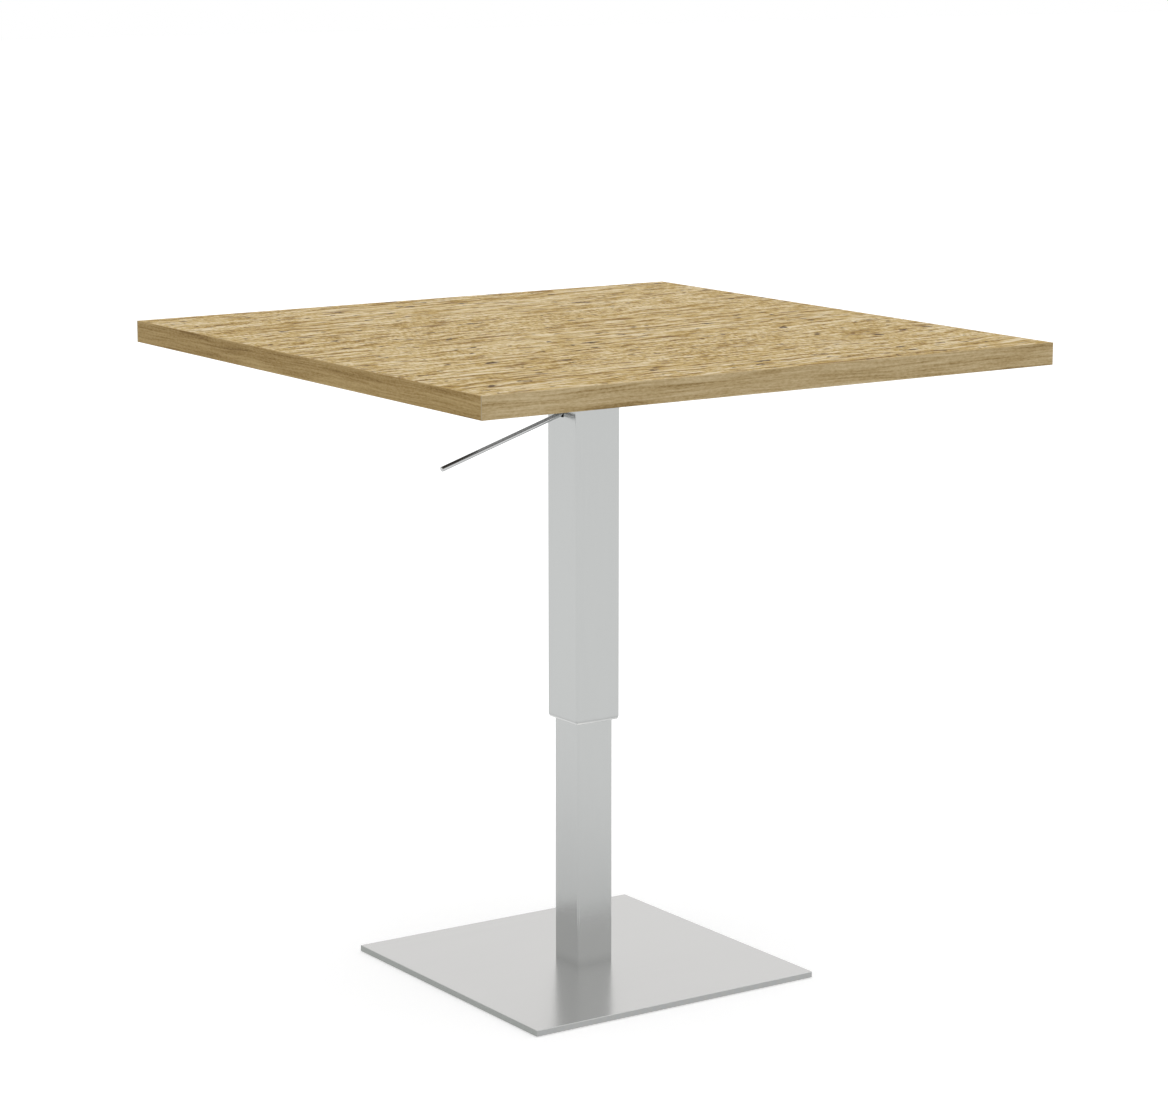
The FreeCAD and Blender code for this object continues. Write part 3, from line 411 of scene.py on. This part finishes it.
turned_brass, tree, shader = new_finish("turned_brass", BRASS, 0.3, 1.0)
rings = speckle(tree, place_on(tree, (8, 8, 2400)))
tree.links.new(spread(tree, rings, 0.3, 0.7, 0.22, 0.4), shader.inputs["Roughness"])
raised(tree, shader, rings, 0.00001)
dress(turned_brass, "gas_spring_piston")
dress(bright_finish("chromed_rod", CHROME, (20, 20, 900), 0.1), "gas_spring_rod", "release_pin")

# The bridge plate is welded across the outer tube and hangs on the rod.  Above it the forked
# release head carries the lever's pivot pin, held by two clips of blued spring steel.
CLIP_STEEL = (0.10, 0.105, 0.115, 1)
CLIP_BLUE = (0.07, 0.08, 0.12, 1)

dress(zinc_plate, "bridge_plate", "rod_lock_nut", "release_head", "lever_pivot_pin")
spring_steel, tree, shader = new_finish("spring_steel", CLIP_STEEL, 0.3, 1.0)
temper = speckle(tree, place_on(tree), scale=300)
tree.links.new(mixed(tree, temper, CLIP_STEEL, CLIP_BLUE), shader.inputs["Base Color"])
tree.links.new(spread(tree, temper, 0.3, 0.7, 0.25, 0.4), shader.inputs["Roughness"])
dress(spring_steel, "pivot_pin_clips")

# The top plate is 5 mm steel with a fine pale grey powder coat, welded all round to the outer
# tube's head.  The weld is a small fillet of slanting ripples, coated with the plate.
COAT_GREY = (0.545, 0.545, 0.54, 1)
COAT_SHADE = (0.525, 0.525, 0.521, 1)
WELD_LEG = 0.0034
WELD_PITCH = 0.0024
WELD_CORNER = 0.0016
WELD_RIPPLE_SHARE = 0.62
WELD_SLANT = 28
WELD_SUNK_SHARE = 0.12

powder_coat, tree, shader = new_finish("powder_coat", COAT_GREY, 0.55)
grit = speckle(tree, place_on(tree), scale=1600, rough=0.6)
cloud = speckle(tree, place_on(tree), scale=60)
tree.links.new(mixed(tree, spread(tree, cloud, 0.35, 0.7), COAT_GREY, COAT_SHADE),
               shader.inputs["Base Color"])
tree.links.new(spread(tree, grit, 0.3, 0.7, 0.46, 0.66), shader.inputs["Roughness"])
raised(tree, shader, grit, 0.00009)
dress(powder_coat, "top_plate")

weld_sunk = WELD_LEG * WELD_SUNK_SHARE
bpy.ops.mesh.primitive_uv_sphere_add(segments=12, ring_count=8, radius=WELD_LEG)
seam = bpy.context.active_object
work_on(seam)
bpy.ops.mesh.select_all(action="SELECT")
bpy.ops.transform.resize(value=(WELD_RIPPLE_SHARE, 1, 1))
bpy.ops.transform.rotate(value=math.radians(WELD_SLANT), orient_axis="Z",
                         center_override=(0, 0, 0))
bpy.ops.transform.translate(value=(
    WELD_CORNER - tube_high.x, -tube_high.x - weld_sunk, tube_high.z - weld_sunk))
bpy.ops.object.mode_set(mode="OBJECT")
bpy.ops.object.modifier_add(type="ARRAY")
run = seam.modifiers[-1]
run.fit_type = "FIT_LENGTH"
run.fit_length = 2 * (tube_high.x - WELD_CORNER)
run.use_relative_offset = False
run.use_constant_offset = True
run.constant_offset_displace = (WELD_PITCH, 0, 0)
bpy.ops.object.modifier_apply(modifier=run.name)
weld = set_out(seam, [(quarter * 90, (0, 0, 0)) for quarter in range(4)])
settle(weld, "top_plate_weld", powder_coat, "lifting_top", smooth=60)

# The tabletop's face is a sheet of rustic oak veneer glued over the board, with the grain
# along X and a matt lacquer.  It is straw and honey coloured, with small dark flecks.
OAK_CREAM = (0.69, 0.575, 0.375, 1)
OAK_STRAW = (0.505, 0.355, 0.13, 1)
OAK_HONEY = (0.36, 0.225, 0.035, 1)
OAK_BROWN = (0.17, 0.08, 0.004, 1)
OAK_FLECK = (0.06, 0.024, 0.0, 1)
OAK_GLOSS = 0.15
OAK_LEAN = 0.07
FACE_GRAIN = (0, 1)


def swaying(tree, along, length, width, reach, lean=0.0):
    """How far the grain drifts sideways, in metres, as it runs along, with a steady lean."""
    scale = [1 / width] * 3
    scale[along] = 1 / length
    slow = speckle(tree, place_on(tree, scale), detail=2)
    drift = reckon(tree, "MULTIPLY", reckon(tree, "SUBTRACT", slow, 0.5), reach * 2)
    return reckon(tree, "SUBTRACT", drift,
                  reckon(tree, "MULTIPLY", measure(tree, "XYZ"[along]), lean))


def grain(tree, axes, sway, length, width, offset, detail, rough=0.55, warp=0.0):
    """Marks that long with the grain and that wide across it, in metres, which sway with it.

    The axes are the ones along and across the grain.  The offset keeps each pattern of marks
    apart from the others."""
    along, across = axes
    scale = [1 / width] * 3
    scale[along] = 1 / length
    direction = [0, 0, 0]
    direction[across] = 1 / width
    drift = add_node(tree, "VectorMath", {0: direction, "Scale": sway}, operation="SCALE")
    place = add_node(tree, "VectorMath", {0: place_on(tree, scale, (offset, offset, offset)),
                                          1: drift.outputs["Vector"]}, operation="ADD")
    return speckle(tree, place.outputs["Vector"], 1, detail, rough, warp)


def weighed(tree, *layers):
    """Patterns added in the given shares."""
    total = reckon(tree, "MULTIPLY", *layers[0])
    for pattern, share in layers[1:]:
        total = reckon(tree, "ADD", total, reckon(tree, "MULTIPLY", pattern, share))
    return total


def oak_tones(tree, tone, marks):
    """The oak's colour for a tone, from marks given as (tone, colour) pairs, dark to light."""
    ramp = add_node(tree, "ValToRGB", {"Fac": tone})
    steps = ramp.color_ramp.elements
    steps[0].position, steps[0].color = marks[0]
    steps[1].position, steps[1].color = marks[-1]
    for position, colour in marks[1:-1]:
        steps.new(position).color = colour
    return ramp.outputs["Color"]


rustic_oak, tree, shader = new_finish("rustic_oak", OAK_STRAW, 0.6)
shader.inputs["Specular IOR Level"].default_value = OAK_GLOSS
sway = swaying(tree, FACE_GRAIN[0], length=0.22, width=0.10, reach=0.02, lean=OAK_LEAN)
bands = grain(tree, FACE_GRAIN, sway, 0.8, 0.08, 3.1, detail=2)
streaks = grain(tree, FACE_GRAIN, sway, 0.16, 0.009, 7.7, detail=4, rough=0.6)
mottle = grain(tree, FACE_GRAIN, sway, 0.036, 0.007, 1.3, detail=3, rough=0.6, warp=0.3)
rays = grain(tree, FACE_GRAIN, sway, 0.0042, 0.011, 2.2, detail=2, rough=0.6)
fibres = grain(tree, FACE_GRAIN, sway, 0.03, 0.0028, 5.9, detail=4, rough=0.65)
straight = grain(tree, FACE_GRAIN, sway, 0.30, 0.16, 9.6, detail=1)
streaks_share = spread(tree, straight, 0.38, 0.62, 0.26, 0.44)
rays_share = spread(tree, straight, 0.38, 0.62, 0.31, 0.13)
tone = weighed(tree, (bands, 0.04), (streaks, streaks_share), (mottle, 0.31),
               (rays, rays_share), (fibres, 0.08))
colour = oak_tones(tree, tone, (
    (0.420, OAK_BROWN), (0.463, OAK_HONEY), (0.497, OAK_STRAW), (0.561, OAK_CREAM)))
dark_threads = grain(tree, FACE_GRAIN, sway, 0.040, 0.008, 17.9, detail=2)
pale_threads = grain(tree, FACE_GRAIN, sway, 0.05, 0.008, 23.3, detail=2)
flecks = grain(tree, FACE_GRAIN, sway, 0.028, 0.016, 15.5, detail=2)
colour = mixed(tree, spread(tree, pale_threads, 0.60, 0.72, 0, 0.6), colour, OAK_CREAM)
colour = mixed(tree, spread(tree, dark_threads, 0.60, 0.68, 0, 0.8), colour, OAK_BROWN)
colour = mixed(tree, spread(tree, flecks, 0.650, 0.700), colour, OAK_FLECK)
tree.links.new(colour, shader.inputs["Base Color"])
tree.links.new(spread(tree, fibres, 0.3, 0.7, 0.66, 0.52), shader.inputs["Roughness"])
raised(tree, shader, weighed(tree, (mottle, 0.3), (streaks, 0.3), (rays, 0.2), (fibres, 0.2)),
       0.0008, 0.6)
dress(rustic_oak, "tabletop_face_veneer")

# Each edge band is a strip of oak cut with the grain, so fine growth lines run along it.  The
# front and back bands lap the ends of the other two, and their cut ends show paler.  The left
# and right bands are browner, and painted darker as shade for the side turned from the light.
BAND_CREAM = (0.61, 0.485, 0.285, 1)
BAND_STRAW = (0.485, 0.365, 0.19, 1)
BAND_HONEY = (0.41, 0.295, 0.135, 1)
BAND_BROWN = (0.27, 0.18, 0.07, 1)
BAND_END = (0.46, 0.37, 0.225, 1)
BAND_END_STARTS = 0.0003
BAND_END_FULL = 0.0001
FRONT_BAND_NO_SHADE = (1, 1, 1, 1)
SIDE_BAND_PAINTED_SHADE = (0.82, 0.745, 0.565, 1)

top_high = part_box("edge_band_front")[1]


def band_finish(name, along, offset, painted_shade):
    """Oak edge band with its growth lines along one axis and pale cut ends, times a painted
    shade.
    """
    finish, tree, shader = new_finish(name, BAND_STRAW, 0.6)
    shader.inputs["Specular IOR Level"].default_value = OAK_GLOSS
    axes = (along, 2)
    sway = swaying(tree, along, length=0.30, width=0.05, reach=0.010)
    tongues = grain(tree, axes, sway, 0.22, 0.011, offset, detail=3, rough=0.6)
    lines = grain(tree, axes, sway, 0.12, 0.0022, offset + 4, detail=3, rough=0.6)
    pores = grain(tree, axes, sway, 0.006, 0.0020, offset + 9, detail=3, rough=0.7)
    tone = weighed(tree, (tongues, 0.33), (lines, 0.40), (pores, 0.27))
    oak = oak_tones(tree, tone, (
        (0.38, BAND_BROWN), (0.45, BAND_HONEY), (0.50, BAND_STRAW), (0.60, BAND_CREAM)))
    # Painted shade: the side bands' oak is multiplied darker here, and browner; the front and
    # back bands stay as they are.
    oak = mixed(tree, 1.0, oak, painted_shade, "MULTIPLY")
    from_middle = reckon(tree, "ABSOLUTE", measure(tree, "XYZ"[along]))
    cut_end = spread(tree, from_middle, top_high.x - BAND_END_STARTS, top_high.x - BAND_END_FULL)
    tree.links.new(mixed(tree, cut_end, oak, BAND_END), shader.inputs["Base Color"])
    tree.links.new(spread(tree, pores, 0.3, 0.7, 0.66, 0.52), shader.inputs["Roughness"])
    raised(tree, shader, weighed(tree, (lines, 0.5), (pores, 0.5)), 0.0003, 0.5)
    return finish


dress(band_finish("oak_band_along_x", 0, 31.7, FRONT_BAND_NO_SHADE), "edge_band_front", "edge_band_back")
dress(band_finish("oak_band_along_y_shaded", 1, 47.2, SIDE_BAND_PAINTED_SHADE), "edge_band_left", "edge_band_right")

# The board inside the top is raw particle board, pressed from pale and dark wood chips.  The
# face, the edge bands and the backing hide it on every side.
BOARD_PALE = (0.56, 0.43, 0.26, 1)
BOARD_DARK = (0.30, 0.20, 0.10, 1)

particle_board, tree, shader = new_finish("particle_board", BOARD_PALE, 0.8)
chips = add_node(tree, "TexVoronoi", {"Vector": place_on(tree), "Scale": 380})
chip_tone = add_node(tree, "SeparateColor", {"Color": chips.outputs["Color"]}).outputs["Red"]
tree.links.new(mixed(tree, chip_tone, BOARD_PALE, BOARD_DARK), shader.inputs["Base Color"])
raised(tree, shader, chips.outputs["Distance"], 0.0003)
dress(particle_board, "tabletop_core")

# The backing is a thin dark brown laminate, glued under the board to keep it flat.  Its face
# is sanded in one direction, along the front edge.
BACKING_BROWN = (0.035, 0.028, 0.022, 1)
BACKING_SANDED = (0.06, 0.049, 0.038, 1)

backing_laminate, tree, shader = new_finish("backing_laminate", BACKING_BROWN, 0.5)
sanding = speckle(tree, place_on(tree, (14, 700, 1)), detail=4, rough=0.6)
tree.links.new(mixed(tree, spread(tree, sanding, 0.3, 0.75), BACKING_BROWN, BACKING_SANDED),
               shader.inputs["Base Color"])
tree.links.new(spread(tree, sanding, 0.3, 0.7, 0.42, 0.6), shader.inputs["Roughness"])
raised(tree, shader, sanding, 0.00003)
dress(backing_laminate, "tabletop_back_veneer")

# Four pan-head wood screws of zinc-plated steel go up through the top plate into the board.
# Each has a domed head with a cross recess and a threaded shank, and its recess came to rest
# at an angle of its own.
SCREW_HEAD_RADIUS = 0.006
SCREW_HEAD_HIGH = 0.0035
SCREW_HEAD_ROUND = 0.0022
SCREW_SHANK_RADIUS = 0.003
SCREW_POINT_HIGH = 0.005
SCREW_POINT_SHARE = 0.12
RECESS_LENGTH = 0.0066
RECESS_WIDTH = 0.0012
RECESS_DEEP = 0.0019
RECESS_TAPER = (0.45, 0.8, 1)
WOOD_THREAD_PITCH = 0.0026
SCREW_TURNS = (-52, 22, 52, -22)

screws_low, screws_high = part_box("top_plate_screws")
screw_row = screws_high.x - SCREW_HEAD_RADIUS
seat_height = screws_low.z + SCREW_HEAD_HIGH
zinc_wood_thread = zinc_finish("zinc_wood_thread", WOOD_THREAD_PITCH, seat_height)

bpy.ops.mesh.primitive_cylinder_add(
    vertices=40, radius=SCREW_HEAD_RADIUS, depth=SCREW_HEAD_HIGH,
    location=(0, 0, seat_height - SCREW_HEAD_HIGH / 2))
wood_screw = bpy.context.active_object
bpy.ops.object.transform_apply(location=True)
work_on(wood_screw)
pick(wood_screw, edges=lambda edge: all(
    v.co.z < screws_low.z + TOUCHING for v in edge.verts))
bpy.ops.mesh.bevel(offset=SCREW_HEAD_ROUND, segments=6, affect="EDGES")
pick(wood_screw, faces=lambda face: face.normal.z > FACING)
bpy.ops.mesh.inset(thickness=SCREW_HEAD_RADIUS - SCREW_SHANK_RADIUS, depth=0)
bpy.ops.mesh.extrude_region_move(TRANSFORM_OT_translate={
    "value": (0, 0, screws_high.z - seat_height - SCREW_POINT_HIGH)})
bpy.ops.mesh.extrude_region_move(TRANSFORM_OT_translate={"value": (0, 0, SCREW_POINT_HIGH)})
bpy.ops.transform.resize(value=(SCREW_POINT_SHARE, SCREW_POINT_SHARE, 1))
bpy.ops.object.mode_set(mode="OBJECT")

bpy.ops.mesh.primitive_cube_add(size=1, location=(0, 0, screws_low.z))
punch = bpy.context.active_object
bpy.ops.transform.resize(value=(RECESS_LENGTH, RECESS_WIDTH, 2 * RECESS_DEEP))
bpy.ops.object.transform_apply(location=True, scale=True)
work_on(punch)
pick(punch, faces=lambda face: face.normal.z > FACING)
bpy.ops.transform.resize(value=RECESS_TAPER)
bpy.ops.mesh.select_all(action="SELECT")
bpy.ops.mesh.duplicate()
bpy.ops.transform.rotate(value=math.radians(90), orient_axis="Z", center_override=(0, 0, 0))
bpy.ops.mesh.select_all(action="SELECT")
bpy.ops.mesh.normals_make_consistent(inside=False)
bpy.ops.object.mode_set(mode="OBJECT")

take(wood_screw)
bpy.ops.object.modifier_add(type="BOOLEAN")
recess = wood_screw.modifiers[-1]
recess.operation = "DIFFERENCE"
recess.solver = "EXACT"
recess.use_self = True
recess.object = punch
bpy.ops.object.modifier_apply(modifier=recess.name)
bpy.data.objects.remove(punch)
wood_screws = set_out(wood_screw, [
    (turn, (side_x * screw_row, side_y * screw_row, 0))
    for turn, (side_x, side_y) in zip(SCREW_TURNS, CORNERS)])
settle(wood_screws, "wood_screws", zinc_wood_thread, "lifting_top", smooth=30)
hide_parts("top_plate_screws")

# The lever is a straight bright steel rod screwed into a zinc-plated cam.  Lifting it turns
# the cam on its pivot, and the cam's nose presses the release pin down into the rod.
LEVER_STEEL = (0.52, 0.525, 0.525, 1)

dress(zinc_plate, "lever_arm")
dress(bright_finish("bright_lever", LEVER_STEEL, (15, 900, 900), 0.07), "lever_rod")

# The table stands on a plain white studio floor in a white room that is a little brighter on
# its window side, in front to the right, under a wide soft light from nearly overhead.
WHITE = (1, 1, 1, 1)
FLOOR_SIDE = 60.0
FLOOR_WHITE = (0.80, 0.80, 0.80, 1)
FLOOR_LIFT = 0.42
FLOOR_MIRRORED_LIFT = 0.32
ROOM_LIGHT = 0.57
WINDOW_SIDE = (0.56, -0.83, 0)
WINDOW_RANGE = (0.91, 1.03)
SKYLIGHT_HIGH = 3.0
SKYLIGHT_STRENGTH = 1.48
SKYLIGHT_SPREAD = 92
SKYLIGHT_LEAN = (6, 3, 0)


def sight(tree):
    """1 where a surface is seen straight or through glass, and 1 where metal mirrors it."""
    path = add_node(tree, "LightPath").outputs
    straight = reckon(tree, "MAXIMUM", path["Is Camera Ray"], path["Is Transmission Ray"])
    return straight, path["Is Glossy Ray"]


bpy.ops.mesh.primitive_plane_add(size=FLOOR_SIDE)
floor = bpy.context.active_object
floor.name = "studio_floor"
work_on(floor)
bpy.ops.mesh.select_all(action="SELECT")
bpy.ops.mesh.subdivide(number_cuts=3)
bpy.ops.object.mode_set(mode="OBJECT")
studio_white = bpy.data.materials.new("studio_white")
studio_white.use_nodes = True
tree = studio_white.node_tree
tree.nodes.clear()
paint = add_node(tree, "BsdfDiffuse", {"Color": FLOOR_WHITE})
seen, mirrored = sight(tree)
lift = add_node(tree, "Emission", {"Color": WHITE, "Strength": weighed(
    tree, (seen, FLOOR_LIFT), (mirrored, FLOOR_MIRRORED_LIFT))})
above = add_node(tree, "AddShader", {0: paint.outputs[0], 1: lift.outputs[0]})
below = add_node(tree, "BsdfTransparent")
backfacing = add_node(tree, "NewGeometry").outputs["Backfacing"]
side = add_node(tree, "MixShader", {0: backfacing, 1: above.outputs[0], 2: below.outputs[0]})
add_node(tree, "OutputMaterial", {"Surface": side.outputs[0]})
floor.data.materials.append(studio_white)

room = bpy.data.worlds.new("white_room")
bpy.context.scene.world = room
room.use_nodes = True
tree = room.node_tree
tree.nodes.clear()
seen, mirrored = sight(tree)
toward_window = add_node(tree, "VectorMath", {0: place_on(tree), 1: WINDOW_SIDE},
                         operation="DOT_PRODUCT").outputs["Value"]
level = reckon(tree, "MULTIPLY", reckon(tree, "MAXIMUM", mirrored, ROOM_LIGHT),
               spread(tree, toward_window, -1.0, 1.0, *WINDOW_RANGE))
wall = add_node(tree, "Background", {"Color": WHITE,
                                     "Strength": reckon(tree, "MAXIMUM", seen, level)})
add_node(tree, "OutputWorld", {"Surface": wall.outputs[0]})

bpy.ops.object.light_add(type="SUN", location=(0, 0, SKYLIGHT_HIGH), rotation=[
    math.radians(angle) for angle in SKYLIGHT_LEAN])
skylight = bpy.context.active_object
skylight.name = "overhead_skylight"
skylight.data.energy = SKYLIGHT_STRENGTH
skylight.data.angle = math.radians(SKYLIGHT_SPREAD)

# The camera stands 4.7 m off in front of the left corner, a little below the eye height of
# someone standing, and looks slightly down on the table.
CAMERA_PLACE = (-2.624, -3.884, 1.481)
CAMERA_AZIMUTH = -34.05
CAMERA_DOWN = 10.69
IMAGE_WIDTH = 1168
FOCAL_PIXELS = 3454.0
SENSOR_WIDTH = 36.0

bpy.ops.object.camera_add(location=CAMERA_PLACE, rotation=(
    math.radians(90 - CAMERA_DOWN), 0, math.radians(CAMERA_AZIMUTH)))
camera = bpy.context.active_object
camera.data.sensor_width = SENSOR_WIDTH
camera.data.lens = FOCAL_PIXELS / IMAGE_WIDTH * SENSOR_WIDTH
camera.data.clip_end = FLOOR_SIDE
bpy.context.scene.camera = camera
bpy.context.scene.view_settings.view_transform = "Standard"
